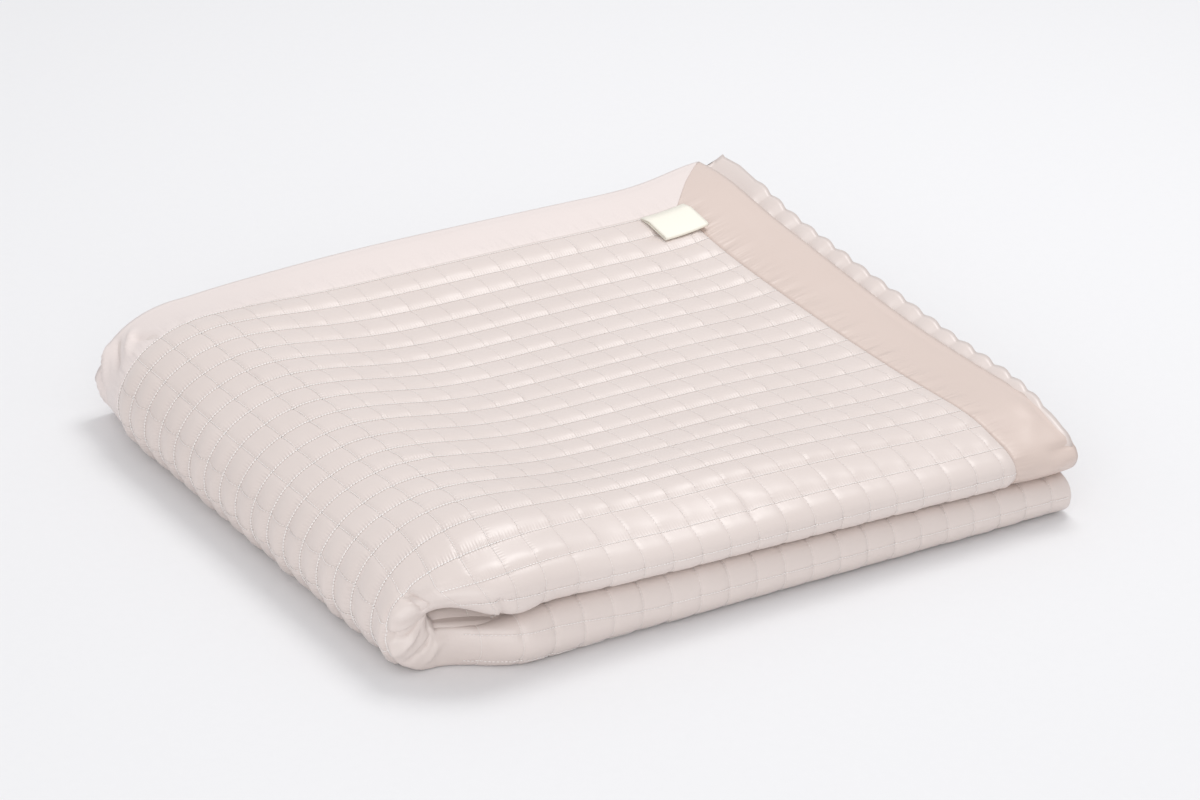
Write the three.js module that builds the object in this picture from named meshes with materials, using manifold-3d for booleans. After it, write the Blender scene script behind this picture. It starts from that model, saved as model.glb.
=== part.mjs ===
// A quilted bedspread, folded into a flat packet of sixteen layers.
//
// The cloth was folded in half end to end, then twice across its width, and at last over itself at the
// left. X runs along the long front edge, Y to the back and Z up, in millimetres. The packet lies on z = 0
// with the origin under the middle of its box.
//
// A place in the cloth is given by s, its distance from the open right end over the left fold, by t, its
// distance from the free edge at the back over the front and back folds, and by n, how many layers it lies
// above the seam plane between the two halves of the cloth.

import * as THREE from 'three';
import { mergeVertices } from 'three/addons/utils/BufferGeometryUtils.js';
import Module from 'manifold-3d';

const wasm = await Module();
wasm.setup();

// Quilting
const cell = 26;
const bandWidth = 58;
const puffRise = 2.6;
const columnRise = 1.3;

// Plan of the packet
const rightEnd = 293;
const backEdge = 274.5;
const frontFoldCentre = -251.5;
const frontFoldReach = 22;
const foldStart = -220;
const leftEdge = -312;
const foldFoot = -277;
const foldNoseHeight = 35;
const coreFoot = -281;
const lowerEnd = 292;
const backPinch = 12;
const backPinchStart = 195;

// At the open end the outer half is stretched, and the half inside reaches further
const overEdgeReach = 4;
const overEdgeLength = 29;
const underEdgeReach = 14;
const underCornerReach = 11;
const underCornerLength = 90;
const underReachEnd = 115;

// Heights
const topHeight = 81;
const middleHeight = 42;
const middleSlope = -0.026;

// The mouth between the two rolls at the front left corner
const mouthHeight = 9;
const mouthCentre = -262;
const mouthLength = 62;
const mouthDepth = 70;

// The rolls are drawn in at the front left corner
const cornerLine = -221;
const cornerSqueeze = 0.34;

// Layers of one half, counted from the fold's inside
const layersPerHalf = 8;
const layerReach = frontFoldReach / 4;
const seamGap = 0.08;
const coreFace = 0.6;
const plateSeam = 0.93;
const plateRoot = 0.36;
const smallestStep = 0.05;
const bandGap = 0.5;
const bandPly = 0.7;
const bandCrown = 1.3;

// Where the top lies higher or lower than topHeight: the centre, the reach on either side and the rise
const far = 4000;
const swells = [
  { place: 'left', x: -220, y: 0, west: far, east: 83, front: far, back: far, rise: 16 },
  { place: 'back', x: 0, y: 268, west: far, east: far, front: 96, back: far, rise: 21 },
  { place: 'left back', x: -220, y: 230, west: far, east: 90, front: 90, back: 90, rise: -6 },
  { place: 'front', x: -38, y: -205, west: 200, east: 190, front: 60, back: 52, rise: 8 },
  { place: 'front shoulder', x: 0, y: -268, west: far, east: far, front: far, back: 40, rise: -12 },
  { place: 'right hollow', x: 215, y: -96, west: 90, east: 90, front: 190, back: 170, rise: -5 },
  { place: 'right edge', x: 300, y: 150, west: 57, east: far, front: 150, back: far, rise: 17 },
  { place: 'back right corner', x: 296, y: 280, west: 75, east: 75, front: 45, back: 75, rise: -5 },
  { place: 'back left corner', x: -250, y: 278, west: far, east: 110, front: 62, back: far, rise: -24 },
  { place: 'middle hollow', x: -60, y: 40, west: 90, east: 120, front: 120, back: 90, rise: -2 },
];

// Label, folded over and caught in the seam of the band
const label = { left: 197, right: 241, root: 59, rise: 72, tip: 100, seam: 1.3, rest: 3.4, ply: 0.8, loop: 2.4 };

function within(value, low, high) {
  return Math.min(Math.max(value, low), high);
}

function smooth(value) {
  const v = within(value, 0, 1);
  return v * v * (3 - 2 * v);
}

function hump(distance, lowReach, highReach) {
  const reach = distance < 0 ? lowReach : highReach;
  return Math.exp(-((distance / reach) ** 2));
}

function top(x, y) {
  let height = topHeight;
  for (const swell of swells) {
    const along = hump(x - swell.x, swell.west, swell.east);
    const across = hump(y - swell.y, swell.front, swell.back);
    height += swell.rise * along * across;
  }
  return height;
}

function middle(x) {
  return middleHeight + middleSlope * x;
}

function mouth(x, y) {
  const depth = 1 - smooth((y - cornerLine + mouthDepth / 2) / mouthDepth);
  return 0.4 + mouthHeight * hump(x - mouthCentre, mouthLength, mouthLength) * depth;
}

// The left fold is drawn in towards the back corner
function pinch(y) {
  return backPinch * smooth((y - backPinchStart) / (backEdge - backPinchStart));
}

// The outer line of the left fold: a long quarter ellipse from the top to the nose, a short one to the floor
function foldOuter(angle, y) {
  const edge = leftEdge + pinch(y);
  if (angle < Math.PI / 2) {
    const crown = top(foldStart, y);
    return {
      x: foldStart + (edge - foldStart) * Math.sin(angle),
      z: foldNoseHeight + (crown - foldNoseHeight) * Math.cos(angle),
    };
  }
  return {
    x: foldFoot + (edge - foldFoot) * Math.sin(angle),
    z: foldNoseHeight * (1 + Math.cos(angle)),
  };
}

// The inner line of the left fold, where the two halves turn on each other
function foldInner(angle, y) {
  const core = coreFoot + pinch(y);
  const x = foldStart + (core - foldStart) * (angle < Math.PI / 2 ? Math.sin(angle) : 1);
  const towardsFoot = angle < Math.PI / 2 ? 0 : 1 - Math.sin(angle);
  const turned = x + (foldFoot - core) * towardsFoot;
  return { x: turned, z: middle(turned) + mouth(turned, y) * Math.cos(angle) };
}

// The length of the outer line, worked out once at the middle of the packet's depth
const foldSteps = 180;
const foldLengths = [0];
for (let step = 1; step <= foldSteps; step += 1) {
  const before = foldOuter((Math.PI * (step - 1)) / foldSteps, 0);
  const after = foldOuter((Math.PI * step) / foldSteps, 0);
  foldLengths.push(foldLengths[step - 1] + Math.hypot(after.x - before.x, after.z - before.z));
}
const upperRun = rightEnd - foldStart;
const foldRun = foldLengths[foldSteps];
const lowerStart = upperRun + foldRun;
const clothEnd = lowerStart + lowerEnd - foldFoot;

function foldAngle(length) {
  let step = 1;
  while (step < foldSteps && foldLengths[step] < length) {
    step += 1;
  }
  const share = (length - foldLengths[step - 1]) / (foldLengths[step] - foldLengths[step - 1]);
  return (Math.PI * (step - 1 + share)) / foldSteps;
}

// How strongly the front rolls are drawn in: nothing along the front, all of it on the left fold
function drawnIn(s) {
  return smooth((s - upperRun - 18) / 95) * (1 - smooth((s - lowerStart) / 70));
}

function drawCorner(s, y) {
  if (y > cornerLine) {
    return y;
  }
  const squeeze = 1 + (cornerSqueeze - 1) * drawnIn(s);
  return cornerLine + (y - cornerLine) * squeeze;
}

// From the open right end, over the left fold, back to the right under the packet
function place(s, flatY, height) {
  const y = drawCorner(s, flatY);
  const share = height / layersPerHalf;
  if (s <= upperRun) {
    const x = rightEnd - s;
    const floor = middle(x) + mouth(x, y);
    return [x, y, floor + (top(x, y) - floor) * share];
  }
  if (s >= lowerStart) {
    const x = foldFoot + (s - lowerStart);
    const roof = middle(x) - mouth(x, y);
    return [x, y, roof * (1 - share)];
  }
  const angle = foldAngle(s - upperRun);
  const outer = foldOuter(angle, y);
  const inner = foldInner(angle, y);
  return [inner.x + (outer.x - inner.x) * share, y, inner.z + (outer.z - inner.z) * share];
}

// The back-and-forth section of one half: four runs joined by three folds. Each row gives a run's height
// or a fold's centre and radius in layers, and the way it goes.
const backCentre = backEdge - 2 * layerReach;
const section = [
  { kind: 'run', from: backEdge, to: frontFoldCentre, height: 7, up: 1 },
  { kind: 'fold', centre: frontFoldCentre, height: 4, radius: 3, side: -1, from: 7, outward: 1 },
  { kind: 'run', from: frontFoldCentre, to: backCentre, height: 1, up: -1 },
  { kind: 'fold', centre: backCentre, height: 2, radius: 1, side: 1, from: 1, outward: 1, stepCount: 3 },
  { kind: 'run', from: backCentre, to: frontFoldCentre, height: 3, up: 1 },
  { kind: 'fold', centre: frontFoldCentre, height: 4, radius: 1, side: -1, from: 3, outward: -1, stepCount: 3 },
  { kind: 'run', from: frontFoldCentre, to: backEdge, height: 5, up: -1 },
];
let widthSoFar = 0;
for (const leg of section) {
  const straight = leg.kind === 'run';
  const outerRadius = (leg.radius + leg.outward) * layerReach;
  leg.start = widthSoFar;
  leg.length = straight ? Math.abs(leg.to - leg.from) : Math.PI * Math.max(outerRadius, layerReach);
  widthSoFar += leg.length;
}
const clothWidth = widthSoFar;

function sectionPoint(t, n) {
  let leg = section[0];
  for (const next of section) {
    if (t >= next.start) {
      leg = next;
    }
  }
  const share = (t - leg.start) / leg.length;
  if (leg.kind === 'run') {
    return { y: leg.from + (leg.to - leg.from) * share, height: leg.height + leg.up * n };
  }
  const radius = leg.radius + leg.outward * n;
  const startsAbove = leg.from > leg.height ? 1 : -1;
  const turn = Math.PI * share;
  return {
    y: leg.centre + leg.side * radius * layerReach * Math.sin(turn),
    height: leg.height + startsAbove * radius * Math.cos(turn),
  };
}

function steps(from, to, count) {
  return Array.from({ length: count + 1 }, (_, index) => from + ((to - from) * index) / count);
}

function joined(...lists) {
  return lists.flatMap((list, index) => (index === 0 ? list : list.slice(1)));
}

// How far the half that lies inside reaches past the outer one near the open end
function underReach(s, t) {
  const full = underEdgeReach + underCornerReach * Math.exp(-((t / underCornerLength) ** 2));
  return full * within((underReachEnd - s) / (underReachEnd - bandWidth), 0, 1);
}

function overReach(s) {
  return overEdgeReach * within(1 - s / overEdgeLength, 0, 1);
}

// The seams: rows from the band's own seam, columns from half a cell beside it
function seamLines(first, from, to) {
  const seams = [];
  for (let line = first; line < to; line += cell) {
    if (line >= from) {
      seams.push(line);
    }
  }
  return seams;
}
const firstColumn = bandWidth + cell / 2;
const foldColumns = seamLines(firstColumn, upperRun + 1, lowerStart - cell / 4);
const frontFold = section[1];
const foldRows = seamLines(bandWidth, frontFold.start - 1, frontFold.start + frontFold.length - cell / 2);

// Stations along the cloth and across it. Every run of the section has the same ones, so that the layers
// stay parallel however the top swells, and the folds have the seams of the quilting.
const lengthLines = [0, overEdgeLength, bandWidth, underReachEnd, 200, 300, 390, 455, upperRun];
const lowerLineCount = 3;
const lengthStations = joined(
  [...lengthLines, ...foldColumns],
  [0, ...steps(lowerStart, clothEnd, lowerLineCount)],
);
const runLines = [backEdge - bandWidth / 2, backEdge - bandWidth, 130, 20, -90, -190];
const widthStations = joined(
  ...section.map((leg) => {
    const end = leg.start + leg.length;
    if (leg === frontFold) {
      return [...foldRows.flatMap((row) => [row, row + cell / 2]).slice(0, -1), end];
    }
    if (leg.kind === 'fold') {
      return steps(leg.start, end, leg.stepCount);
    }
    const places = leg.from > leg.to ? runLines : [...runLines].reverse();
    return [leg.from, ...places, leg.to].map((y) => leg.start + Math.abs(y - leg.from));
  }),
);

function clothPoint(s, t, n) {
  const { y, height } = sectionPoint(t, n);
  return place(s - (n > 0 ? overReach(s) : underReach(s, t)), y, height);
}

function stationBefore(stations, value) {
  let index = 0;
  while (index < stations.length - 2 && stations[index + 1] <= value) {
    index += 1;
  }
  return index;
}

// The same place on the flat facets between the stations
function facetPoint(s, t, n) {
  const row = stationBefore(widthStations, t);
  const [t0, t1] = [widthStations[row], widthStations[row + 1]];
  const column = stationBefore(lengthStations, s);
  const [s0, s1] = [lengthStations[column], lengthStations[column + 1]];
  const along = (s - s0) / (s1 - s0);
  const across = (t - t0) / (t1 - t0);
  const near = new THREE.Vector3(...clothPoint(s0, t0, n));
  near.lerp(new THREE.Vector3(...clothPoint(s1, t0, n)), along);
  const beyond = new THREE.Vector3(...clothPoint(s0, t1, n));
  beyond.lerp(new THREE.Vector3(...clothPoint(s1, t1, n)), along);
  return near.lerp(beyond, across);
}

// A point a real distance above the layer position n, along the way out of the cloth
function liftedPoint(s, t, n, lift) {
  const here = facetPoint(s, t, n);
  const above = facetPoint(s, t, n + 0.05 * Math.sign(n));
  above.sub(here).normalize();
  here.addScaledVector(above, lift);
  here.z = Math.max(here.z, 0);
  return here.toArray();
}

// The same on the smooth surface, where that lies higher than the facets
function skinPoint(s, t, n, lift) {
  const here = facetPoint(s, t, n);
  const above = facetPoint(s, t, n + 0.05 * Math.sign(n));
  above.sub(here).normalize();
  const smoothRise = new THREE.Vector3(...clothPoint(s, t, n)).sub(here).dot(above);
  here.addScaledVector(above, lift + Math.max(smoothRise, 0));
  here.z = Math.max(here.z, 0);
  return here.toArray();
}

// The face side of the whole cloth: along the outer half, round the fold at the lower right and back
// along the half that lies inside. u is the way along it.
const turnReach = layerReach * coreFace;
const turnLength = Math.PI * turnReach;
const faceLength = 2 * clothEnd + turnLength;

function facePoint(u, t, n, lift) {
  if (u <= clothEnd) {
    return liftedPoint(u, t, n, lift);
  }
  if (u >= clothEnd + turnLength) {
    return liftedPoint(faceLength - u, t, -n, lift);
  }
  const turn = (Math.PI * (u - clothEnd)) / turnLength;
  const reach = (n * layerReach + lift) * Math.sin(turn);
  const layer = (n + lift / layerReach) * Math.cos(turn);
  return clothPoint(clothEnd + reach, t, layer);
}

// Meshes
class Surface {
  constructor() {
    this.points = [];
    this.faces = [];
  }

  point(place) {
    this.points.push(place);
    return this.points.length - 1;
  }

  triangle(a, b, c) {
    this.faces.push([a, b, c]);
  }

  quad(a, b, c, d) {
    this.triangle(a, b, c);
    this.triangle(a, c, d);
  }

  volume() {
    let sum = 0;
    for (const [a, b, c] of this.faces) {
      const p = this.points[a];
      const q = this.points[b];
      const r = this.points[c];
      sum += p[0] * (q[1] * r[2] - q[2] * r[1]);
      sum += p[1] * (q[2] * r[0] - q[0] * r[2]);
      sum += p[2] * (q[0] * r[1] - q[1] * r[0]);
    }
    return sum / 6;
  }

  geometry() {
    const outwards = this.volume() > 0;
    const index = this.faces.flatMap(([a, b, c]) => (outwards ? [a, b, c] : [a, c, b]));
    const geometry = new THREE.BufferGeometry();
    geometry.setAttribute('position', new THREE.Float32BufferAttribute(this.points.flat(), 3));
    geometry.setIndex(index);
    return mergeVertices(geometry, 1e-4);
  }
}

function toSolid(geometry) {
  return new wasm.Manifold(
    new wasm.Mesh({
      numProp: 3,
      vertProperties: new Float32Array(geometry.attributes.position.array),
      triVerts: new Uint32Array(geometry.index.array),
    }),
  );
}

function fromSolid(solid) {
  const mesh = solid.getMesh();
  const geometry = new THREE.BufferGeometry();
  geometry.setAttribute('position', new THREE.Float32BufferAttribute(mesh.vertProperties, 3));
  geometry.setIndex([...mesh.triVerts]);
  return geometry;
}

// Both halves of the cloth, joined at the lower right end
function foldedCloth() {
  const surface = new Surface();
  const turnSteps = 4;
  const rings = widthStations.map((t) => {
    const line = (n) => lengthStations.map((s) => surface.point(clothPoint(s, t, n)));
    const turn = steps(0, Math.PI, turnSteps)
      .slice(1, -1)
      .map((angle) => {
        const s = clothEnd + coreFace * layerReach * Math.sin(angle);
        return surface.point(clothPoint(s, t, coreFace * Math.cos(angle)));
      });
    return {
      outerFace: line(coreFace),
      turn,
      underFace: line(-coreFace),
      underSeam: line(-seamGap),
      outerSeam: line(seamGap),
    };
  });
  const loops = rings.map((ring) => [
    ...ring.outerFace,
    ...ring.turn,
    ...[...ring.underFace].reverse(),
    ...ring.underSeam,
    ...[...ring.outerSeam].reverse(),
  ]);
  for (let ring = 0; ring + 1 < loops.length; ring += 1) {
    const here = loops[ring];
    const there = loops[ring + 1];
    here.forEach((_, index) => {
      const next = (index + 1) % here.length;
      surface.quad(here[index], here[next], there[next], there[index]);
    });
  }
  const closeEdge = (ring, flip) => {
    const face = (a, b, c) => (flip ? surface.triangle(a, c, b) : surface.triangle(a, b, c));
    const strip = (outside, inside) => {
      for (let index = 0; index + 1 < outside.length; index += 1) {
        face(outside[index], inside[index], inside[index + 1]);
        face(outside[index], inside[index + 1], outside[index + 1]);
      }
    };
    strip(ring.outerFace, ring.outerSeam);
    strip([...ring.underFace].reverse(), [...ring.underSeam].reverse());
    const upper = ring.outerSeam[ring.outerSeam.length - 1];
    const lower = ring.underSeam[ring.underSeam.length - 1];
    const rim = [ring.outerFace.at(-1), ...ring.turn, ring.underFace.at(-1)];
    const half = turnSteps / 2;
    for (let index = 0; index < turnSteps; index += 1) {
      face(rim[index], index < half ? upper : lower, rim[index + 1]);
    }
    face(rim[half], upper, lower);
  };
  closeEdge(rings[0], false);
  closeEdge(rings.at(-1), true);
  return surface;
}

// Quilted cells on the outer face. A cell is a low cushion: its middle is highest, the seams along the
// rows are deep and the seams along the columns are shallow.
function quiltedPlate(columnLines, rowLines, face, cellRise, seamRise) {
  const surface = new Surface();
  const between = (lines, index) => (lines[index] + lines[index + 1]) / 2;
  const raised = (s, t, rise) => surface.point(skinPoint(s, t, face, rise));
  const root = (s, t) => surface.point(liftedPoint(s, t, plateRoot, 0));
  const corners = columnLines.map((s) => rowLines.map((t) => raised(s, t, 0)));
  const rootLines = rowLines.flatMap((t, row) => [t, between(rowLines, row)]).slice(0, -1);
  const roots = columnLines.map((s) => rootLines.map((t) => root(s, t)));
  const lastColumn = columnLines.length - 1;
  const lastRow = rowLines.length - 1;
  const columnMiddles = columnLines.map((s, column) => {
    const rise = column === 0 || column === lastColumn ? 0 : seamRise;
    return steps(0, lastRow - 1, lastRow - 1).map((row) => raised(s, between(rowLines, row), rise));
  });
  for (let column = 0; column < lastColumn; column += 1) {
    for (let row = 0; row < lastRow; row += 1) {
      const middlePoint = raised(between(columnLines, column), between(rowLines, row), cellRise);
      const rim = [
        corners[column][row],
        corners[column + 1][row],
        columnMiddles[column + 1][row],
        corners[column + 1][row + 1],
        corners[column][row + 1],
        columnMiddles[column][row],
      ];
      rim.forEach((point, index) => surface.triangle(point, rim[(index + 1) % rim.length], middlePoint));
      for (const step of [2 * row, 2 * row + 1]) {
        const near = roots[column];
        const beyond = roots[column + 1];
        surface.quad(near[step], near[step + 1], beyond[step + 1], beyond[step]);
      }
    }
  }
  for (let column = 0; column < lastColumn; column += 1) {
    const next = column + 1;
    surface.quad(roots[column][0], roots[next][0], corners[next][0], corners[column][0]);
    const end = [roots[next].at(-1), roots[column].at(-1)];
    surface.quad(end[0], end[1], corners[column][lastRow], corners[next][lastRow]);
  }
  const sideWall = (column, row, flip) => {
    const quad = (a, b, c, d) => (flip ? surface.quad(d, c, b, a) : surface.quad(a, b, c, d));
    const line = roots[column];
    const middlePoint = columnMiddles[column][row];
    quad(line[2 * row + 1], line[2 * row], corners[column][row], middlePoint);
    quad(line[2 * row + 2], line[2 * row + 1], middlePoint, corners[column][row + 1]);
  };
  for (let row = 0; row < lastRow; row += 1) {
    sideWall(0, row, false);
    sideWall(lastColumn, row, true);
  }
  return surface;
}

function quiltedPanel() {
  const lastSeam = foldRows.at(-1);
  const solids = [
    foldedCloth(),
    quiltedPlate(
      [bandWidth, ...seamLines(firstColumn, bandWidth, lowerStart - cell / 4), lowerStart],
      seamLines(bandWidth, bandWidth, lastSeam + 1),
      plateSeam,
      puffRise,
      columnRise,
    ),
    quiltedPlate(
      [lowerStart, ...seamLines(firstColumn, lowerStart + cell / 4, clothEnd - cell / 4), clothEnd],
      seamLines(bandWidth, frontFold.start - cell - 1, lastSeam + 1),
      plateSeam,
      puffRise,
      columnRise,
    ),
    quiltedPlate(
      steps(lowerStart, clothEnd, 5),
      steps(bandWidth, frontFold.start, 3),
      1,
      0,
      0,
    ),
  ].map((surface) => toSolid(surface.geometry()));
  return fromSolid(solids.reduce((whole, solid) => whole.add(solid)).simplify(smallestStep));
}

// A closed bar whose section is the same number of points at every station
function bar(sections, closeEnd) {
  const surface = new Surface();
  const rings = sections.map((section) => section.map((place) => surface.point(place)));
  for (let ring = 0; ring + 1 < rings.length; ring += 1) {
    const here = rings[ring];
    const there = rings[ring + 1];
    here.forEach((_, index) => {
      const next = (index + 1) % here.length;
      surface.quad(here[index], here[next], there[next], there[index]);
    });
  }
  closeEnd(surface, rings[0], false);
  closeEnd(surface, rings.at(-1), true);
  return surface.geometry();
}

// The end of a bar whose section is two lines of points, the second one running back over the first
function closeStrip(surface, ring, flip) {
  const count = ring.length / 2;
  for (let index = 0; index + 1 < count; index += 1) {
    const a = ring[index];
    const b = ring[index + 1];
    const c = ring[ring.length - 2 - index];
    const d = ring[ring.length - 1 - index];
    if (flip) {
      surface.quad(a, b, c, d);
    } else {
      surface.quad(d, c, b, a);
    }
  }
}

// A flat strip of cloth on the face side with a low crown. at gives its places: how far along, how far
// across from 0 at the cloth's edge to 1 at the seam, and the height over the cloth.
function bandStrip(stations, across, at, crownAt) {
  const full = bandGap + bandPly;
  const sections = stations.map((station) => {
    const under = across.map((side) => at(station, side, bandGap));
    const over = across.map((side) => at(station, side, full + 4 * side * (1 - side) * crownAt(station)));
    return [...under, ...over.reverse()];
  });
  return bar(sections, closeStrip);
}

const seamEdge = bandWidth - 0.3;
const mitreGap = 0.3;
const bandLines = [0, overEdgeLength / bandWidth, 1];

// Along one long edge of the cloth, on both of its halves
function longBand(edge, inwards, crownAt) {
  const under = lengthStations.map((s) => faceLength - s).reverse();
  const stations = [...lengthStations, ...steps(clothEnd, clothEnd + turnLength, 6).slice(1, -1), ...under];
  const at = (station, side, lift) => {
    const fromEdge = side * seamEdge;
    const u = within(station, fromEdge + mitreGap, faceLength - fromEdge - mitreGap);
    return facePoint(u, edge + inwards * fromEdge, coreFace, lift);
  };
  return bandStrip(stations, inwards > 0 ? bandLines : [...bandLines].reverse(), at, crownAt);
}

// Along one end of the cloth, over all of its folds; face is 1 on the outer half and -1 on the inner one
function endBand(face, crownAt) {
  const at = (station, side, lift) => {
    const fromEdge = side * seamEdge;
    const t = within(station, fromEdge + mitreGap, clothWidth - fromEdge - mitreGap);
    return liftedPoint(fromEdge, t, face * coreFace, lift);
  };
  return bandStrip(widthStations, face > 0 ? bandLines : [...bandLines].reverse(), at, crownAt);
}

// The label is a short ribbon turned over on itself, with its two ends in the band's seam
function labelLoop() {
  const reach = (label.loop + label.ply) / 2;
  const turned = (radius) =>
    steps(-Math.PI / 2, Math.PI / 2, 6).map((angle) => ({
      t: label.tip - reach + radius * Math.cos(angle),
      lift: label.rest + reach + radius * Math.sin(angle),
    }));
  const outside = [
    { t: label.root, lift: label.seam },
    { t: label.rise, lift: label.rest },
    ...turned(reach),
    { t: label.rise, lift: label.rest + 2 * reach },
    { t: label.root, lift: label.seam + 2 * label.ply + 0.1 },
  ];
  const inside = [
    { t: label.root, lift: label.seam + label.ply },
    { t: label.rise, lift: label.rest + label.ply },
    ...turned(reach - label.ply),
    { t: label.rise, lift: label.rest + 2 * reach - label.ply },
    { t: label.root, lift: label.seam + label.ply + 0.1 },
  ];
  const path = [...outside, ...inside.reverse()];
  const sections = steps(label.left, label.right, 4).map((x) =>
    path.map(({ t, lift }) => skinPoint(rightEnd - x, t, plateSeam, lift)),
  );
  return bar(sections, closeStrip);
}

const quiltCloth = new THREE.MeshStandardMaterial({ color: 0xe6dcd6, roughness: 0.45, metalness: 0 });
const bandCloth = new THREE.MeshStandardMaterial({ color: 0xe8d9d0, roughness: 0.35, metalness: 0 });
const labelCloth = new THREE.MeshStandardMaterial({ color: 0xf5f0e2, roughness: 0.7, metalness: 0 });

const bedspread = new THREE.Group();

function addPiece(name, geometry, material) {
  const mesh = new THREE.Mesh(geometry, material);
  mesh.name = name;
  bedspread.add(mesh);
}

const flat = () => 0;
const crownOverTop = (station) => (station < upperRun + foldRun / 2 ? bandCrown : 0);
const crownOverFront = (station) => (station < frontFold.start + frontFold.length / 2 ? bandCrown : 0);

addPiece('quilted_panel', quiltedPanel(), quiltCloth);
addPiece('band_back_edge', longBand(0, 1, crownOverTop), bandCloth);
addPiece('band_front_edge', longBand(clothWidth, -1, flat), bandCloth);
addPiece('band_top_end', endBand(1, crownOverFront), bandCloth);
addPiece('band_under_end', endBand(-1, flat), bandCloth);
addPiece('label', labelLoop(), labelCloth);

export default bedspread;
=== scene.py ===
# A cream quilted bedspread with a plain satin border, folded into a flat packet of sixteen layers.
import math
import bmesh
import bpy
import numpy as np
from mathutils import Matrix, Vector


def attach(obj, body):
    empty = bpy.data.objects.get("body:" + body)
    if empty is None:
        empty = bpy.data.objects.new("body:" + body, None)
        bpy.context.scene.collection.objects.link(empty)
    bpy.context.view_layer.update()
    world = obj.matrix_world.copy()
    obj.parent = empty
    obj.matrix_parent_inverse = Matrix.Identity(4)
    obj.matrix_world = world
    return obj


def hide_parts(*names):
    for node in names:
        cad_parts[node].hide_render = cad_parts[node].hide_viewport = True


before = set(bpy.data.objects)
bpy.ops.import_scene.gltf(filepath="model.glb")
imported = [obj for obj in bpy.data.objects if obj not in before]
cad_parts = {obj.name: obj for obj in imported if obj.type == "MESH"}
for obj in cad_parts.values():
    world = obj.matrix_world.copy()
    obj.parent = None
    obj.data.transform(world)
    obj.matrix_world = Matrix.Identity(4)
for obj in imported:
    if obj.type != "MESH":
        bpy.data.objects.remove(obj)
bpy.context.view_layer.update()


# Shape of the packet, in metres: x along the front, y to the back, z up
packet = {
    "rightEnd": 0.293, "backEdge": 0.2745,
    "frontFold": -0.2515, "frontFoldReach": 0.022,
    "foldStart": -0.220, "leftEdge": -0.312, "foldFoot": -0.277, "foldNose": 0.035, "coreFoot": -0.281,
    "lowerEnd": 0.292, "backPinch": 0.012, "backPinchFrom": 0.195,
    "overEdge": 0.004, "overEdgeLength": 0.029,
    "underEdge": 0.013, "underMiddle": 0.008, "underCorner": 0.009, "underCornerLength": 0.090,
    "underFlare": 0.008, "underFlareLength": 0.0145, "underReachEnd": 0.115, "underFaded": 0.85,
    "top": 0.081, "middle": 0.042, "middleSlope": -0.026,
    "mouthHeight": 0.009, "mouthLeast": 0.0004,
    "mouthCentre": -0.262, "mouthLength": 0.062, "mouthDepth": 0.070,
    "cornerLine": -0.221, "cornerSqueeze": 0.34,
    "layers": 8,
}
layerReach = packet["frontFoldReach"] / 4
far = 4.0  # past anything on the packet

# Where the top lies higher or lower: centre x, y, reach to the west, east, front and back, and the rise
swells = [
    (-0.220, 0.0, far, 0.083, far, far, 0.016),
    (0.0, 0.268, far, far, 0.096, far, 0.021),
    (-0.220, 0.230, far, 0.090, 0.090, 0.090, -0.006),
    (-0.038, -0.205, 0.200, 0.190, 0.060, 0.052, 0.008),
    (0.0, -0.268, far, far, far, 0.040, -0.012),
    (0.215, -0.096, 0.090, 0.090, 0.190, 0.170, -0.005),
    (0.300, 0.150, 0.057, far, 0.150, far, 0.017),
    (0.296, 0.280, 0.075, 0.075, 0.045, 0.075, -0.005),
    (-0.250, 0.278, far, 0.110, 0.062, far, -0.024),
    (-0.060, 0.040, 0.090, 0.120, 0.120, 0.090, -0.002),
]


def smooth(value):
    v = np.clip(value, 0, 1)
    return v * v * (3 - 2 * v)


def rises(value, name):  # 0 up to the start of a span, 1 once its length is past
    start, length = spans[name]
    return smooth((value - start) / length)


def falls(value, name):
    return 1 - rises(value, name)


def hump(distance, lowReach, highReach):
    reach = np.where(distance < 0, lowReach, highReach)
    return np.exp(-((distance / reach) ** 2))


def topAt(x, y):
    height = np.full(np.broadcast(x, y).shape, packet["top"])
    for middleX, middleY, west, east, front, back, rise in swells:
        height = height + rise * hump(x - middleX, west, east) * hump(y - middleY, front, back)
    return height


def middleAt(x):
    return packet["middle"] + packet["middleSlope"] * x


def mouthAt(x, y):  # half the gap between the two rolls at the front left
    depth = 1 - smooth((y - packet["cornerLine"]) / packet["mouthDepth"] + 0.5)
    along = hump(x - packet["mouthCentre"], packet["mouthLength"], packet["mouthLength"])
    return packet["mouthLeast"] + packet["mouthHeight"] * along * depth


def pinchAt(y):  # the fold is drawn in towards the back corner
    start = packet["backPinchFrom"]
    return packet["backPinch"] * smooth((y - start) / (packet["backEdge"] - start))


def foldOuter(angle, y):
    start, foot, nose = (packet[k] for k in ("foldStart", "foldFoot", "foldNose"))
    edge = packet["leftEdge"] + pinchAt(y)
    above = angle < math.pi / 2
    crown = topAt(np.full_like(angle, start), y)
    x = np.where(above, start + (edge - start) * np.sin(angle), foot + (edge - foot) * np.sin(angle))
    z = np.where(above, nose + (crown - nose) * np.cos(angle), nose * (1 + np.cos(angle)))
    return x, z


def foldInner(angle, y):
    start, foot = packet["foldStart"], packet["foldFoot"]
    core = packet["coreFoot"] + pinchAt(y)
    above = angle < math.pi / 2
    x = start + (core - start) * np.where(above, np.sin(angle), 1)
    x = x + (foot - core) * np.where(above, 0, 1 - np.sin(angle))
    return x, middleAt(x) + mouthAt(x, y) * np.cos(angle)


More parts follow.
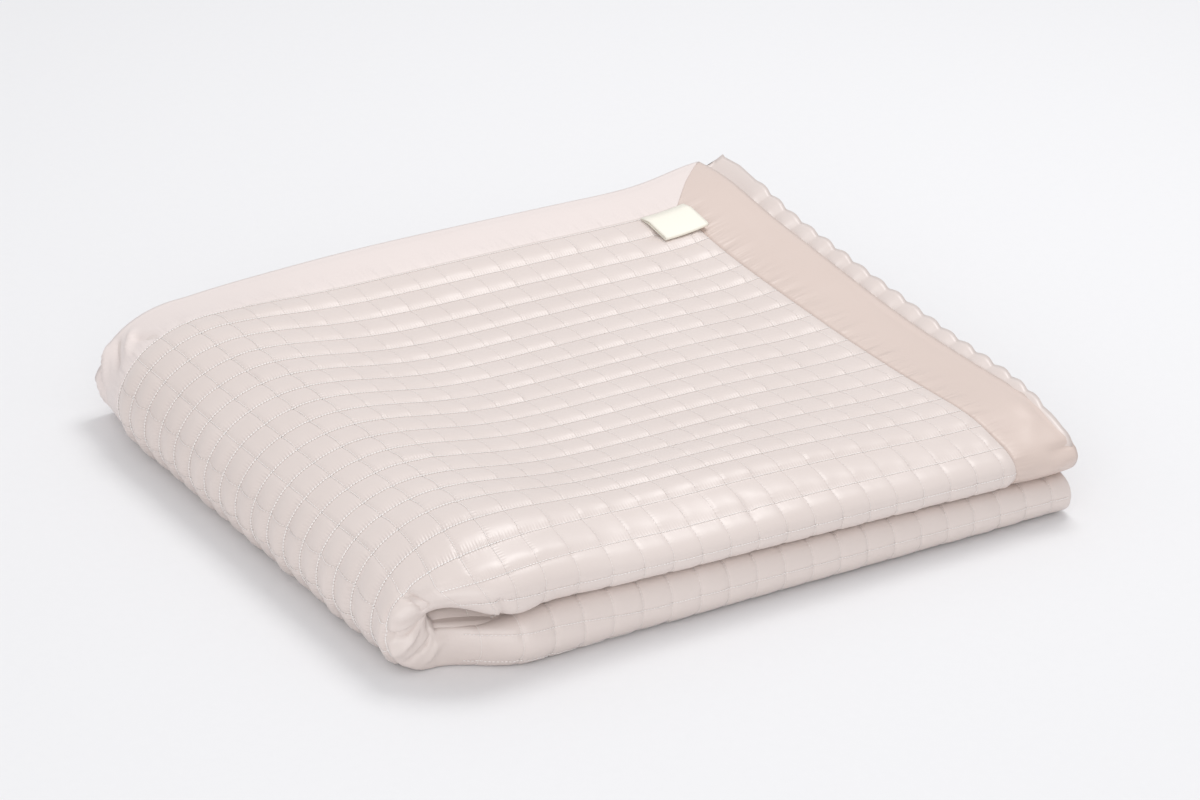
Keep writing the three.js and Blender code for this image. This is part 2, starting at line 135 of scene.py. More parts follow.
foldTable = np.linspace(0, math.pi, 181)
foldX, foldZ = foldOuter(foldTable, np.zeros(181))
foldLengths = np.concatenate([[0], np.cumsum(np.hypot(np.diff(foldX), np.diff(foldZ)))])
upperRun = packet["rightEnd"] - packet["foldStart"]
lowerStart = upperRun + foldLengths[-1]
clothEnd = lowerStart + packet["lowerEnd"] - packet["foldFoot"]


def place(s, flatY, height):
    # s runs from the open right end over the left fold and back to the right underneath
    drawnIn = rises(s, "drawnIn") * falls(s, "letOut")
    squeeze = 1 + (packet["cornerSqueeze"] - 1) * drawnIn
    line = packet["cornerLine"]
    y = np.where(flatY > line, flatY, line + (flatY - line) * squeeze)
    share = height / packet["layers"]
    upperX = packet["rightEnd"] - s
    floor = middleAt(upperX) + mouthAt(upperX, y)
    upperZ = floor + (topAt(upperX, y) - floor) * share
    lowerX = packet["foldFoot"] + (s - lowerStart)
    lowerZ = (middleAt(lowerX) - mouthAt(lowerX, y)) * (1 - share)
    angle = np.interp(s - upperRun, foldLengths, foldTable)
    outerX, outerZ = foldOuter(angle, y)
    innerX, innerZ = foldInner(angle, y)
    foldedX = innerX + (outerX - innerX) * share
    foldedZ = innerZ + (outerZ - innerZ) * share
    onTop, below = s <= upperRun, s >= lowerStart
    x = np.where(onTop, upperX, np.where(below, lowerX, foldedX))
    z = np.where(onTop, upperZ, np.where(below, lowerZ, foldedZ))
    return np.stack([x, y, z], -1)


# The back-and-forth section of one half: runs and folds, with heights and radii in layers
backEdge, frontLine = packet["backEdge"], packet["frontFold"]
innerBack = backEdge - 2 * layerReach
section = [
    {"run": True, "from": backEdge, "to": frontLine, "height": 7, "up": 1},
    {"run": False, "centre": frontLine, "height": 4, "radius": 3, "side": -1, "from": 7, "out": 1},
    {"run": True, "from": frontLine, "to": innerBack, "height": 1, "up": -1},
    {"run": False, "centre": innerBack, "height": 2, "radius": 1, "side": 1, "from": 1, "out": 1},
    {"run": True, "from": innerBack, "to": frontLine, "height": 3, "up": 1},
    {"run": False, "centre": frontLine, "height": 4, "radius": 1, "side": -1, "from": 3, "out": -1},
    {"run": True, "from": frontLine, "to": backEdge, "height": 5, "up": -1},
]
clothWidth = 0.0
for leg in section:
    leg["start"] = clothWidth
    if leg["run"]:
        leg["length"] = abs(leg["to"] - leg["from"])
    else:
        leg["length"] = math.pi * max((leg["radius"] + leg["out"]) * layerReach, layerReach)
    clothWidth += leg["length"]
legStarts = np.array([leg["start"] for leg in section])


def sectionPoint(t, n):
    t, n = np.broadcast_arrays(t, n)
    which = np.clip(np.searchsorted(legStarts, t, side="right") - 1, 0, len(section) - 1)
    y, height = np.zeros(t.shape), np.zeros(t.shape)
    for number, leg in enumerate(section):
        here = which == number
        share = (t[here] - leg["start"]) / leg["length"]
        if leg["run"]:
            y[here] = leg["from"] + (leg["to"] - leg["from"]) * share
            height[here] = leg["height"] + leg["up"] * n[here]
        else:
            radius = leg["radius"] + leg["out"] * n[here]
            above = 1 if leg["from"] > leg["height"] else -1
            y[here] = leg["centre"] + leg["side"] * radius * layerReach * np.sin(math.pi * share)
            height[here] = leg["height"] + above * radius * np.cos(math.pi * share)
    return y, height


def underReach(s, t):
    full = packet["underEdge"] + packet["underMiddle"] * falls(t, "thickMiddle")
    full = full + packet["underCorner"] * np.exp(-((t / packet["underCornerLength"]) ** 2))
    full = full * (1 - packet["underFaded"] * rises(t, "overCorner"))
    end = packet["underReachEnd"]
    return full * np.clip((end - s) / (end - quilting["band"]), 0, 1)


def clothPoint(s, t, n):
    s, t, n = np.broadcast_arrays(s, t, n)
    y, height = sectionPoint(t, n)
    overReach = packet["overEdge"] * np.clip(1 - s / packet["overEdgeLength"], 0, 1)
    point = place(s - np.where(n < 0, underReach(s, t), overReach), y, height)
    flare = np.clip(1 - s / packet["underFlareLength"], 0, 1) * np.where(n < 0, packet["underFlare"], 0)
    point[..., 2] += flare * height / packet["layers"]
    return point


# Quilting: seams every 26 mm both ways, with flat cushions between them
quilting = {
    "cell": 0.026, "band": 0.058,
    # how high the faces lie in their layer
    "seamFace": 0.90, "hiddenFace": 0.86, "bandFace": 0.62, "back": 0.05, "rim": 0.004,
    "thinEdge": 0.35, "beyondOver": 0.004, "backFilling": (1.0, 0.5, 1.3),
    # where the mesh has its lines, in shares of a cell, and closer together at the tucked corner
    "rowStations": (0, 0.06, 0.17, 0.34, 0.56, 0.74, 0.855, 0.945),
    "columnStations": (0, 0.055, 0.16, 0.38, 0.62, 0.84, 0.945),
    "cornerStep": 0.0019, "cornerFrom": 0.578, "cornerAcross": (0.500, 0.5788), "cornerLower": 0.045,
    "lowerSlip": 0.0155, "slipAtFold": 0.45, "cornerSlide": (0.012, 0.014), "rollSlide": 0.007,
    # depth of the seams on the top, and what the fold and the roll add to it
    "row": (0.94, -0.24, -0.60), "rowLow": 0.3, "column": (0.15, 0.30, 0.45),
    # how much fuller the cushions are low on the fold, and flatter on the roll and in the tucked corner
    "fullLow": 0.7, "flatRoll": 0.15, "flatCorner": 0.72,
    "gatherTop": 0.30, "gatherRoll": 0.45, "offFloor": 0.0001,
}
cell = quilting["cell"]
bandWidth = quilting["band"]
firstColumn = bandWidth + cell / 2
turnReach = layerReach * quilting["hiddenFace"]
turnLength = math.pi * turnReach
faceLength = 2 * clothEnd + turnLength
rollStart = section[1]["start"]
rollEnd = rollStart + section[1]["length"]
lastRow = bandWidth + cell * math.floor((rollEnd - bandWidth) / cell)
lowerLastRow = lastRow + 2 * cell

# Stretches of the cloth over which something changes, each with its start and its length
spans = {
    # along s
    "nearFold": (0.40, 0.12), "pastCorner": (0.62, 0.07),
    "toFold": (upperRun - 0.03, 0.06), "fromFold": (lowerStart, 0.04), "gathered": (upperRun - 0.045, 0.05),
    "drawnIn": (upperRun + 0.018, 0.095), "letOut": (lowerStart, 0.070),
    "squeezed": (upperRun + 0.018, 0.060), "unsqueezed": (lowerStart, 0.050),
    "lowFold": (upperRun + 0.070, 0.03), "underFold": (lowerStart - 0.01, 0.03),
    "intoLower": (lowerStart - 0.045, 0.05), "downLower": (lowerStart + 0.05, 0.13),
    "offBand": (bandWidth - 0.001, 0.008),
    # across t
    "thickMiddle": (0.27, 0.20), "overCorner": (0.43, 0.10), "overRoll": (0.50, 0.055),
    "ontoRoll": (rollStart - 0.010, 0.030), "gathersEnd": (rollStart - 0.020, 0.030),
    "atCorner": (rollStart - 0.040, 0.030), "lowerQuilting": (rollStart - cell, cell),
    "beforeRoll": (rollStart - 0.10, 0.08), "pastRoll": (rollEnd + 0.03, 0.10),
}


def slideAt(s, t):  # how far the pattern lies from its even place
    # the lower roll turns a little further along the cloth than the upper one
    atFold = quilting["slipAtFold"]
    grows = rises(s, "intoLower") * (atFold + (1 - atFold) * rises(s, "downLower"))
    outside = falls(t, "pastRoll")
    here = rises(t, "beforeRoll") * outside
    # the cloth is drawn over the front roll, and most towards the front of the left fold
    near = rises(s, "nearFold")
    drawn = near * falls(s, "pastCorner") * rises(t, "overCorner") * outside
    over = (1 - near) * rises(t, "overRoll") * outside
    acrossSlide = quilting["cornerSlide"][1] * drawn + quilting["rollSlide"] * over
    return quilting["cornerSlide"][0] * drawn, acrossSlide - quilting["lowerSlip"] * grows * here


def alongAt(u):  # u runs along the face side of both halves, round the turn at the lower right end
    return np.where(u <= clothEnd, u, np.where(u >= clothEnd + turnLength, faceLength - u, clothEnd))


def facePoint(u, t, n):
    u, t, n = np.broadcast_arrays(u, t, n)
    turn = math.pi * np.clip((u - clothEnd) / turnLength, 0, 1)
    s = alongAt(u)
    side = np.where(u <= clothEnd, 1, np.where(turn >= math.pi, -1, np.cos(turn)))
    alongSlide, acrossSlide = slideAt(s, t)
    return clothPoint(s + alongSlide + n * layerReach * np.sin(turn), t + acrossSlide, n * side)


def outwardAt(u, t, n):
    here = facePoint(u, t, n)
    beyond = facePoint(u, t, n + 0.05) - here
    return beyond / np.maximum(np.linalg.norm(beyond, axis=-1, keepdims=True), 1e-9)


# Creases, tucks and sags on the packet, listed in millimetres: path of (s, t), width and depth
creases = [
    ([(592, 506), (599, 516), (597, 530), (597, 548), (610, 566)], 3.4, 8.0),
    ([(574, 524), (580, 540), (578, 556)], 8.0, -3.0),
    ([(612, 508), (614, 530), (616, 560)], 7.0, -4.0),
    ([(632, 504), (634, 530), (636, 552), (632, 582)], 3.0, 9.0),
    ([(648, 522), (650, 544), (646, 572)], 4.5, -3.5),
    ([(660, 530), (668, 552), (682, 576)], 2.8, 5.0),
    ([(676, 540), (690, 560), (700, 572)], 4.0, -2.0),
    ([(480, 576), (530, 584), (565, 586), (592, 572)], 15.0, -8.0),
    ([(541, 556), (540, 572), (539, 592)], 4.0, 4.0),
    ([(640, 592), (680, 594), (760, 594)], 13.0, 9.0),
    ([(572, 12), (584, 24), (600, 48)], 4.0, -5.0),
    ([(586, 2), (600, 18), (614, 46)], 3.4, 5.0),
    ([(598, -4), (614, 12), (636, 34)], 4.0, -5.0),
    ([(612, -6), (628, 8), (648, 26)], 3.4, 4.0),
    ([(622, -8), (640, 4), (660, 16)], 4.0, -3.0),
    ([(560, 54), (576, 38), (588, 20)], 4.5, 3.0),
    ([(-6, 540), (8, 546), (30, 548)], 3.5, 3.5),
    ([(-6, 556), (10, 560), (40, 570)], 5.0, -2.5),
    ([(10, 470), (16, 510), (40, 536)], 6.0, -2.0),
    ([(8, 260), (10, 330), (12, 400)], 6.0, 1.0),
    ([(12, 90), (18, 150), (16, 220)], 5.0, 1.0),
    ([(300, 512), (303, 540)], 3.0, 1.2),
    ([(268, 399), (246, 407), (214, 412)], 3.0, 1.0),
    ([(262, 408), (240, 416), (222, 424)], 3.0, -0.8),
    ([(523, 349), (500, 356), (470, 357)], 3.2, 1.1),
    ([(515, 362), (490, 369), (474, 368)], 3.0, -0.8),
]
creaseFade = 0.35


def creaseAt(s, t):  # how far the face is drawn in
    alongSlide, acrossSlide = slideAt(s, t)
    s, t = s + alongSlide, t + acrossSlide
    drawn = np.zeros(np.broadcast(s, t).shape)
    for places, width, depth in creases:
        path = np.array(places) / 1000
        lengths = np.hypot(*np.diff(path, axis=0).T)
        nearest, along, run = np.full(drawn.shape, far), np.zeros(drawn.shape), 0.0
        for start, end, length in zip(path, path[1:], lengths):
            way = (end - start) / length
            part = np.clip((s - start[0]) * way[0] + (t - start[1]) * way[1], 0, length)
            distance = np.hypot(s - start[0] - way[0] * part, t - start[1] - way[1] * part)
            closer = distance < nearest
            nearest = np.where(closer, distance, nearest)
            along = np.where(closer, run + part, along)
            run += length
        fade = smooth(along / (creaseFade * run)) * smooth((run - along) / (creaseFade * run))
        drawn += depth / 1000 * fade * np.exp(-((1000 * nearest / width) ** 2))
    return drawn


def creasedFace(u, s, t, n, lift=0.0):
    outs = outwardAt(u, t, n)
    return facePoint(u, t, n) + outs * (lift - creaseAt(s, t))[..., None], outs


def squeezedAt(s, t):  # 1 in the gathered corner at the front of the left fold
    return rises(s, "squeezed") * falls(s, "unsqueezed") * rises(t, "atCorner")


def gathersAt(s, t):  # how strongly the stitches gather the cloth
    fold = rises(s, "gathered") * falls(s, "fromFold")
    roll = rises(t, "gathersEnd")
    onTop = quilting["gatherTop"]
    return (onTop + (1 - onTop) * fold) * (1 - quilting["gatherRoll"] * roll) * (1 - squeezedAt(s, t))


def fillingAt(u, s, t):
    # depth of the row seams, depth of the column seams and how full the cushions are
    fold = rises(s, "toFold") * falls(s, "fromFold")
    roll = rises(t, "ontoRoll")
    low = rises(s, "lowFold") * falls(s, "underFold") * (1 - roll)
    depths = []
    for onTop, foldAdds, rollAdds in (quilting["row"], quilting["column"]):
        depths.append(onTop + foldAdds * fold + rollAdds * roll * (1 - fold))
    row = depths[0] + quilting["rowLow"] * low
    full = rises(np.minimum(u, faceLength - u), "offBand")
    full = full * (1 - quilting["flatCorner"] * squeezedAt(s, t))
    full = full * (1 - quilting["flatRoll"] * roll) * (1 + quilting["fullLow"] * low)
    return np.stack(np.broadcast_arrays(row, depths[1], full), -1)


def addObject(name, data):
    thing = bpy.data.objects.new(name, data)
    bpy.context.scene.collection.objects.link(thing)
    return thing


class ClothMesh:
    # lines of points joined into a surface, with the flat cloth's place kept at each point

    def __init__(self):
        self.stores = {"points": [], "flats": [], "outs": [], "fillings": [], "gathers": []}
        self.count = 0
        self.faces = []
        self.edges = []

    def line(self, points, flats, outs=None, fillings=None, gathers=None):
        first = self.count
        self.count += len(points)
        blank = np.zeros((len(points), 3))
        given = {"points": points, "flats": flats, "outs": outs, "fillings": fillings}
        for key, values in given.items():
            self.stores[key].append(blank if values is None else np.asarray(values, float))
        self.stores["gathers"].append(blank[:, 0] if gathers is None else gathers)
        return list(range(first, self.count))

    def join(self, lineA, alongA, lineB, alongB, flip=False):
        a = b = 0
        while a + 1 < len(lineA) or b + 1 < len(lineB):
            nextA = alongA[a + 1] if a + 1 < len(lineA) else math.inf
            nextB = alongB[b + 1] if b + 1 < len(lineB) else math.inf
            if abs(nextA - nextB) < 1e-7:
                face = [lineA[a], lineA[a + 1], lineB[b + 1], lineB[b]]
                a, b = a + 1, b + 1
            elif nextA < nextB:
                face = [lineA[a], lineA[a + 1], lineB[b]]
                a += 1
            else:
                face = [lineA[a], lineB[b + 1], lineB[b]]
                b += 1
            self.faces.append(face[::-1] if flip else face)

    def joinRings(self, rings):
        for ringA, ringB in zip(rings, rings[1:]):
            for index in range(len(ringA)):
                after = (index + 1) % len(ringA)
                self.faces.append([ringA[index], ringA[after], ringB[after], ringB[index]])
        for ring in (rings[0], rings[-1]):  # a flat ring is closed across its middle
            for index in range(len(ring) // 2 - 1):
                self.faces.append([ring[index], ring[index + 1], ring[-2 - index], ring[-1 - index]])

    def toObject(self, name, recalculate=False):
        mesh = bpy.data.meshes.new(name)
        mesh.from_pydata(np.concatenate(self.stores["points"]).tolist(), self.edges, self.faces)
        flats = np.concatenate(self.stores["flats"])
        vectors = {
            "flatPlace": np.column_stack([flats, np.zeros(len(flats))]),
            "outward": np.concatenate(self.stores["outs"]),
            "filling": np.concatenate(self.stores["fillings"]),
        }
        for key, values in vectors.items():
            mesh.attributes.new(key, "FLOAT_VECTOR", "POINT").data.foreach_set("vector", values.ravel())
        gathers = np.concatenate(self.stores["gathers"])
        mesh.attributes.new("gathers", "FLOAT", "POINT").data.foreach_set("value", gathers)
        if self.faces:
            corners = np.zeros(len(mesh.loops), int)
            mesh.loops.foreach_get("vertex_index", corners)
            mesh.uv_layers.new(name="UVMap").data.foreach_set("uv", flats[corners].ravel())
            mesh.polygons.foreach_set("use_smooth", [True] * len(mesh.polygons))
        if recalculate:
            shape = bmesh.new()
            shape.from_mesh(mesh)
            bmesh.ops.recalc_face_normals(shape, faces=shape.faces)
            shape.to_mesh(mesh)
            shape.free()
        mesh.update()
        return addObject(name, mesh)


def seamsBetween(first, low, high):  # the seams that lie strictly between two places
    start = math.ceil((low - first) / cell + 1e-6)
    return first + cell * np.arange(start, math.floor((high - first) / cell - 1e-6) + 1)


def fineBetween(first, low, high, shares):  # the same, with stations crowded beside each seam
    numbers = np.arange(math.floor((low - first) / cell), math.ceil((high - first) / cell) + 1)
    stations = (first + cell * (numbers[:, None] + np.array(shares))).ravel()
    return stations[(stations > low + 1e-6) & (stations < high - 1e-6)]


def withCorner(stations, low, high):  # closer together across the tucked corner
    extra = np.arange(low, high, quilting["cornerStep"])
    return np.concatenate([stations[stations < low - 0.0008], extra, stations[stations > high + 0.0005]])


def cellPlace(s, t):  # in cells, with the seams at whole numbers
    return np.stack([(s - firstColumn) / cell, (t - bandWidth) / cell], -1)


def makeQuiltBase():
    cloth = ClothMesh()
    outerStart = np.array([0.0, quilting["rim"], packet["overEdgeLength"], bandWidth - 0.001])
    bandSeam = bandWidth + np.array([0.0, 0.0015, 0.003, 0.0045, 0.007])
    topFine = fineBetween(firstColumn, bandWidth + 0.0075, lowerStart, quilting["columnStations"])
    topShown = np.concatenate([outerStart, bandSeam, topFine, [lowerStart]])
    tucked = withCorner(topShown, quilting["cornerFrom"], lowerStart)
    tucked = np.concatenate([tucked[tucked < lowerStart - 0.0004], [lowerStart]])
    topSeams = seamsBetween(firstColumn, bandWidth, lowerStart)
    topCoarse = np.concatenate([outerStart, [bandWidth], topSeams, [lowerStart]])
    lowerFine = fineBetween(firstColumn, lowerStart, clothEnd, quilting["columnStations"])
    lowerCoarse = seamsBetween(firstColumn, lowerStart, clothEnd)
    lowerEnds = lowerStart + np.array([quilting["cornerStep"], quilting["cornerLower"]])
    lowerTucked = withCorner(lowerFine, *lowerEnds)
    turn = clothEnd + turnLength * np.linspace(0, 1, 6)
    innerCoarse = faceLength - seamsBetween(firstColumn, bandWidth, clothEnd)[::-1]
    innerEnd = faceLength - np.concatenate([outerStart, [bandWidth]])[::-1]
    edgeFine = faceLength - np.linspace(0, bandWidth, 17)[::-1]
    backStations = np.concatenate([topCoarse, lowerCoarse, turn[[0, 3, 5]], innerCoarse, edgeFine])

    rollFrom = rollStart - cell
    hidden = []
    for leg in section[1:]:
        count = math.ceil(leg["length"] / cell) if leg["run"] else 5
        stations = leg["start"] + leg["length"] * np.linspace(0, 1, count + 1)[1:]
        hidden.extend(t for t in stations if t > lowerLastRow + 0.2 * cell)
    hidden[-1:] = [clothWidth - packet["overEdgeLength"], clothWidth - quilting["rim"], clothWidth]
    quilted = fineBetween(bandWidth, bandWidth, lowerLastRow, quilting["rowStations"])
    quilted = withCorner(np.concatenate([[bandWidth], quilted, [lowerLastRow]]), *quilting["cornerAcross"])
    tLines = np.concatenate([[0.0, quilting["rim"], packet["overEdgeLength"]], quilted, hidden])

    faceLines, backLines = [], []
    for t in tLines:
        topQuilted = bandWidth - 1e-6 <= t <= lastRow + 1e-6
        rollQuilted = rollFrom <= t <= lowerLastRow + 1e-6
        top = topShown if topQuilted else topCoarse
        lower = lowerFine if rollQuilted else lowerCoarse
        if quilting["cornerAcross"][0] - 0.0005 <= t <= lastRow + 1e-6:
            top, lower = tucked, lowerTucked
        u = np.concatenate([top, lower, turn, innerCoarse, innerEnd])
        s, tAll = alongAt(u), np.full_like(u, t)
        shown = (topQuilted & (u <= lowerStart)) | (rollQuilted & (u > lowerStart) & (u <= clothEnd))
        filling = fillingAt(u, s, tAll) * shown[:, None]
        filling[:, 2] *= np.where(u > lowerStart, rises(t, "lowerQuilting"), 1)
        fromEdge = np.minimum(np.minimum(u, faceLength - u), min(t, clothWidth - t))
        rounded = np.sqrt(np.clip(fromEdge / quilting["rim"], 0, 1))
        faceN = np.where(shown, quilting["seamFace"], quilting["hiddenFace"])
        faceN = np.where(fromEdge < bandWidth, quilting["bandFace"], faceN)
        thin = quilting["thinEdge"]
        faceN = quilting["back"] + (faceN - quilting["back"]) * (thin + (1 - thin) * rounded)
        points, outs = creasedFace(u, np.where(shown, s, -far), tAll, faceN)
        gathers = gathersAt(s, tAll) * shown
        faceLines.append((cloth.line(points, cellPlace(s, tAll), outs, filling, gathers), u))

        s, tAll = alongAt(backStations), np.full_like(backStations, t)
        n = np.full_like(s, quilting["back"])
        # the inner half is quilted where it stands out past the upper one
        beyond = np.clip((underReach(s, tAll) - s) / quilting["beyondOver"], 0, 1)
        proud = np.where(backStations > clothEnd, beyond, 0) * (t <= lastRow)
        filling = np.stack([np.ones_like(s), np.ones_like(s), proud], -1) * quilting["backFilling"]
        points, outs = facePoint(backStations, tAll, n), -outwardAt(backStations, tAll, n)
        backLines.append((cloth.line(points, cellPlace(s, tAll), outs, filling), backStations))

    for (lineA, alongA), (lineB, alongB) in zip(faceLines, faceLines[1:]):
        cloth.join(lineA, alongA, lineB, alongB)
    for (lineA, alongA), (lineB, alongB) in zip(backLines, backLines[1:]):
        cloth.join(lineA, alongA, lineB, alongB, flip=True)
    for end, flip in ((0, True), (-1, False)):  # the two long edges
        cloth.join(*faceLines[end], *backLines[end], flip=flip)
    for end, flip in ((0, False), (-1, True)):  # the two free ends
        face = [line[end] for line, _ in faceLines]
        back = [line[end] for line, _ in backLines]
        cloth.join(face, tLines, back, tLines, flip=flip)
    return cloth.toObject("quiltBase")


# Node helpers
def addNode(tree, kind, links=(), **settings):
    node = tree.nodes.new(kind)
    for key, value in settings.items():
        setattr(node, key, value)
    for socket, source in dict(links).items():
        if isinstance(source, bpy.types.NodeSocket):
            tree.links.new(source, node.inputs[socket])
        else:
            node.inputs[socket].default_value = source
    return node


def mathOf(tree, operation, *values):
    return addNode(tree, "ShaderNodeMath", dict(enumerate(values)), operation=operation).outputs[0]


def times(tree, first, *factors):
    for factor in factors:
        first = mathOf(tree, "MULTIPLY", first, factor)
    return first


def minus(tree, first, second):
    return mathOf(tree, "SUBTRACT", first, second)


def vectorOf(tree, operation, *values):
    return addNode(tree, "ShaderNodeVectorMath", dict(enumerate(values)), operation=operation).outputs[0]


def colourMix(tree, factor, first, second):
    return addNode(tree, "ShaderNodeMix", {0: factor, 6: first, 7: second}, data_type="RGBA").outputs[2]


def noiseOf(tree, vector, scale=1.0, detail=2.0):
    links = {"Vector": vector, "Scale": scale, "Detail": detail}
    return addNode(tree, "ShaderNodeTexNoise", links).outputs[0]


def bellOf(tree, distance, reach, power=2.0):  # 1 at no distance, fading to 0 past the reach
    scaled = mathOf(tree, "POWER", mathOf(tree, "ABSOLUTE", mathOf(tree, "DIVIDE", distance, reach)), power)
    return mathOf(tree, "EXPONENT", times(tree, scaled, -1.0))


def partsOf(tree, vector):
    return addNode(tree, "ShaderNodeSeparateXYZ", {0: vector}).outputs


def storedOf(tree, name, kind="FLOAT_VECTOR"):
    return addNode(tree, "GeometryNodeInputNamedAttribute", {"Name": name}, data_type=kind).outputs[0]


def newGroup(name, kind, inputs, outputs):
    tree = bpy.data.node_groups.new(name, kind)
    for inputName, value in inputs.items():
        socketType = value if isinstance(value, str) else "Float"
        socket = tree.interface.new_socket(inputName, in_out="INPUT", socket_type="NodeSocket" + socketType)
        if socketType == "Float":
            socket.default_value = value
    for outputName, socketType in outputs.items():
        tree.interface.new_socket(outputName, in_out="OUTPUT", socket_type="NodeSocket" + socketType)
    return tree, addNode(tree, "NodeGroupInput").outputs


def groupOf(tree, group, **values):
    kind = "GeometryNodeGroup" if tree.type == "GEOMETRY" else "ShaderNodeGroup"
    node = addNode(tree, kind, node_tree=group)
    for key, value in values.items():
        node.inputs[key].default_value = value
    return node


def makePlain(piece, tree, values, name):
    # runs a Geometry Nodes tree on the piece and keeps the result as a plain mesh
    modifier = piece.modifiers.new("shape", "NODES")
    modifier.node_group = tree
    given = [item for item in tree.interface.items_tree if item.in_out == "INPUT"]
    identifiers = {item.name: item.identifier for item in given}
    for key, value in values.items():
        modifier[identifiers[key]] = value
    graph = bpy.context.evaluated_depsgraph_get()
    shaped = piece.evaluated_get(graph)
    mesh = bpy.data.meshes.new_from_object(shaped, preserve_all_data_layers=True, depsgraph=graph)
    mesh.name = name
    bpy.data.objects.remove(piece)
    return addObject(name, mesh)


def trianglesOf(piece):
    return sum(len(face.vertices) - 2 for face in piece.data.polygons)


# The cushions: how far the filling lifts the face, worked out from the flat cloth's place
cushionSizes = {
    "Rise": 0.0028, "Front slope": 0.165, "Back slope": 0.36, "Column groove": 0.075,
    "Unevenness": 0.34, "Rumple": 0.0018, "Crown": 0.16, "Squarer side": 0.70,
}


def cushionGroup():
    tree, given = newGroup("cushions", "GeometryNodeTree", cushionSizes, {"Offset": "Vector"})
    place = storedOf(tree, "flatPlace")
    flat, filling = partsOf(tree, place), partsOf(tree, storedOf(tree, "filling"))
    rowDistance = mathOf(tree, "PINGPONG", flat["Y"], 0.5)
    columnDistance = mathOf(tree, "PINGPONG", flat["X"], 0.5)
    # each cushion drops steeply at its front seam and runs out gently at its back one
    fromBack = mathOf(tree, "FRACT", mathOf(tree, "ADD", flat["Y"], 0.0001))
    fromFront = minus(tree, 1.0, fromBack)
    fromSide = mathOf(tree, "MULTIPLY_ADD", columnDistance, -2.0, 1.0)
    squarer = times(tree, fromSide, fromSide, given["Squarer side"])
    plump = minus(tree, 1.30, squarer)
    frontCut = bellOf(tree, fromFront, times(tree, given["Front slope"], plump), 1.4)
    backCut = bellOf(tree, fromBack, given["Back slope"], 1.5)
    rowCut = times(tree, mathOf(tree, "MAXIMUM", frontCut, backCut), filling["X"])
    # a column seam cuts deeper where it meets a row
    meeting = mathOf(tree, "MULTIPLY_ADD", bellOf(tree, rowDistance, 0.20), 1.1, 0.62)
    columnCut = bellOf(tree, columnDistance, given["Column groove"], 1.4)
    columnCut = mathOf(tree, "MINIMUM", times(tree, columnCut, filling["Y"], meeting), 1.0)
    rowRest = minus(tree, 1.0, rowCut)
    cushion = times(tree, rowRest, minus(tree, 1.0, columnCut))
    # a low crown over each cell
    fromMiddle = minus(tree, 1.0, times(tree, rowDistance, 2.0))
    fallen = times(tree, fromMiddle, fromMiddle, given["Crown"])
    cushion = times(tree, cushion, minus(tree, 1.0, fallen))
    # each cell is filled a little differently
    seeded = {"Vector": vectorOf(tree, "FLOOR", place), "W": 7.0}
    chance = addNode(tree, "ShaderNodeTexWhiteNoise", seeded, noise_dimensions="4D").outputs["Value"]
    spread = mathOf(tree, "MULTIPLY_ADD", minus(tree, chance, 0.5), given["Unevenness"], 1.0)
    cushion = times(tree, cushion, spread)
    # soft rumples that run across the rows
    stretched = vectorOf(tree, "MULTIPLY", place, (2.1, 0.8, 1.0))
    seeded = {"Vector": stretched, "Scale": 1.0, "Detail": 2.0, "W": 3.0}
    noise = addNode(tree, "ShaderNodeTexNoise", seeded, noise_dimensions="4D").outputs[0]
    rumple = times(tree, minus(tree, noise, 0.5), given["Rumple"], rowRest)
    height = times(tree, mathOf(tree, "MULTIPLY_ADD", cushion, given["Rise"], rumple), filling["Z"])
    outward = {0: storedOf(tree, "outward"), "Scale": height}
    lifted = addNode(tree, "ShaderNodeVectorMath", outward, operation="SCALE").outputs[0]
    addNode(tree, "NodeGroupOutput", {"Offset": lifted})
    return tree


def layOnFloor(tree, geometry, offset, least):  # moved outwards, but never under the floor
    moved = addNode(tree, "GeometryNodeSetPosition", {"Geometry": geometry, "Offset": offset}).outputs[0]
    position = addNode(tree, "GeometryNodeInputPosition").outputs[0]
    lowest = vectorOf(tree, "MAXIMUM", position, (-far, -far, least))
    return addNode(tree, "GeometryNodeSetPosition", {"Geometry": moved, "Position": lowest}).outputs[0]


def shapeTree(name, cushions, least, sizes=None, make=None):
    # lays a piece on the cushions, may turn it into something else, and gives it its material
    inputs = {"Geometry": "Geometry", **(sizes or {}), "Material": "Material"}
    tree, given = newGroup(name, "GeometryNodeTree", inputs, {"Geometry": "Geometry"})
    offset = groupOf(tree, cushions, **cushionSizes).outputs["Offset"]
    shaped = layOnFloor(tree, given["Geometry"], offset, least)
    if make:
        shaped = make(tree, given, shaped)
    shaped = addNode(tree, "GeometryNodeRealizeInstances", {"Geometry": shaped}).outputs[0]
    shaped = addNode(tree, "GeometryNodeSetShadeSmooth", {"Geometry": shaped}).outputs[0]
    dressed = {"Geometry": shaped, "Material": given["Material"]}
    shaped = addNode(tree, "GeometryNodeSetMaterial", dressed).outputs[0]
    addNode(tree, "NodeGroupOutput", {"Geometry": shaped})
    return tree


